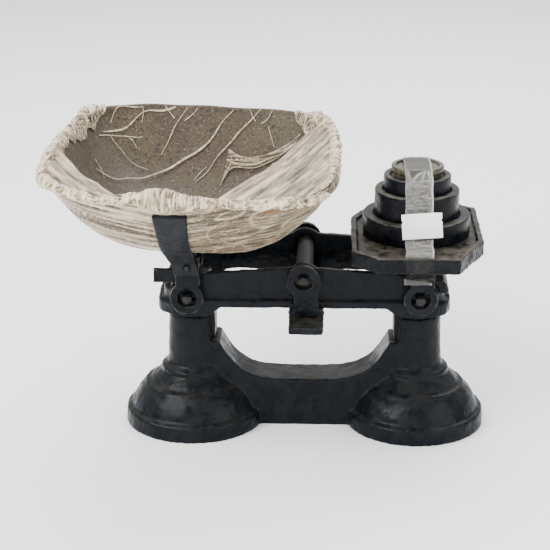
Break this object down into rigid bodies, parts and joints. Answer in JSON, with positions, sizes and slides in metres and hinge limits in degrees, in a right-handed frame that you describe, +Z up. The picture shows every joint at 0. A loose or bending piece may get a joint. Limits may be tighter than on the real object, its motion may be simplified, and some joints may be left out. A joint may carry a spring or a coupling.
{
  "type": "bench scale",
  "caption": "Antique cast-iron counter scale: equal-arm beam on knife edges over a two-footed base, oblong goods pan, octagonal plate with stacked round weights.",
  "frame": {"origin": "on the counter, midway between the two pillars, under the centre knife edges", "axes": "+X along the beam towards the weight plate, +Y away from the user, +Z up"},
  "size_m": [0.4031, 0.327, 0.272],
  "materials": {
    "painted_iron": "old blue-black paint, dusty on top",
    "dark_steel": "dark forged steel",
    "worn_steel": "worn grey-beige",
    "tinned_sheet": "dull tinned sheet with brown specks",
    "weight_iron": "dark iron with worn edges",
    "weight_brass": "tarnished olive-brown",
    "wrapping_film": "creased translucent wrapping film",
    "clear_tape": "clear adhesive tape",
    "paper_tag": "blank white label"
  },
  "bodies": {
    "base": {"base_casting": "painted_iron", "stay_centre_pin": "dark_steel", "fulcrum_rail": "painted_iron", "fulcrum_saddle": "painted_iron", "fulcrum_ring_front": "painted_iron", "fulcrum_ring_rear": "painted_iron", "saddle_pin_front": "dark_steel", "saddle_pin_rear": "dark_steel", "saddle_bolt_left": "dark_steel", "saddle_bolt_right": "dark_steel", "saddle_nut_left": "dark_steel", "saddle_nut_right": "dark_steel", "rail_wedge_left": "dark_steel", "rail_wedge_right": "dark_steel"},
    "beam": {"beam_casting": "painted_iron", "tie_bar": "worn_steel", "centre_knife_front": "dark_steel", "centre_knife_rear": "dark_steel", "left_knife_front": "dark_steel", "left_knife_rear": "dark_steel", "right_knife_front": "dark_steel", "right_knife_rear": "dark_steel", "balance_block": "painted_iron"},
    "pan_carrier": {"left_carrier": "painted_iron", "left_leg": "dark_steel", "left_leg_pin": "dark_steel", "left_stay_pin": "dark_steel", "pan_strap_front": "painted_iron", "pan_strap_rear": "painted_iron", "strap_rivet_front": "dark_steel", "strap_rivet_rear": "dark_steel"},
    "weight_carrier": {"right_carrier": "painted_iron", "right_leg": "dark_steel", "right_leg_pin": "dark_steel", "right_stay_pin": "dark_steel", "weight_plate": "painted_iron", "plate_screw": "dark_steel", "tape_lower": "clear_tape"},
    "stay": {"stay": "dark_steel"},
    "pan": {"goods_pan": "tinned_sheet", "film_wrap": "wrapping_film"},
    "two_pound": {"weight_two_pound": "weight_iron"},
    "one_pound": {"weight_one_pound": "weight_iron"},
    "half_pound": {"weight_half_pound": "weight_iron"},
    "quarter_pound": {"weight_quarter_pound": "weight_brass", "tape_upper": "clear_tape", "blank_tag": "paper_tag"}
  },
  "joints": [
    {"name": "beam_tilt", "type": "hinge", "parent": "base", "child": "beam", "pos_m": [0, 0, 0.152], "axis": [0, 1, 0], "range_deg": [-2, 2]},
    {"name": "pan_carrier_swing", "type": "hinge", "parent": "beam", "child": "pan_carrier", "pos_m": [-0.105, 0, 0.152], "axis": [0, 1, 0], "range_deg": [-2.1, 2.1]},
    {"name": "weight_carrier_swing", "type": "hinge", "parent": "beam", "child": "weight_carrier", "pos_m": [0.105, 0, 0.152], "axis": [0, 1, 0], "range_deg": [-2.1, 2.1]},
    {"name": "stay_tilt", "type": "hinge", "parent": "base", "child": "stay", "pos_m": [0, 0, 0.026], "axis": [0, 1, 0], "range_deg": [-2.1, 2.1]},
    {"name": "pan_lift", "type": "slide", "parent": "pan_carrier", "child": "pan", "axis": [0, 0, 1], "range_m": [0, 0.1]},
    {"name": "two_pound_lift", "type": "slide", "parent": "weight_carrier", "child": "two_pound", "axis": [0, 0, 1], "range_m": [0, 0.06]},
    {"name": "one_pound_lift", "type": "slide", "parent": "two_pound", "child": "one_pound", "axis": [0, 0, 1], "range_m": [0, 0.06]},
    {"name": "half_pound_lift", "type": "slide", "parent": "one_pound", "child": "half_pound", "axis": [0, 0, 1], "range_m": [0, 0.06]},
    {"name": "quarter_pound_lift", "type": "slide", "parent": "half_pound", "child": "quarter_pound", "axis": [0, 0, 1], "range_m": [0, 0.06]}
  ],
  "couplings": [
    {"joint": "pan_carrier_swing", "follows": "beam_tilt", "ratio": -1},
    {"joint": "weight_carrier_swing", "follows": "beam_tilt", "ratio": -1},
    {"joint": "stay_tilt", "follows": "beam_tilt", "ratio": 1}
  ]
}
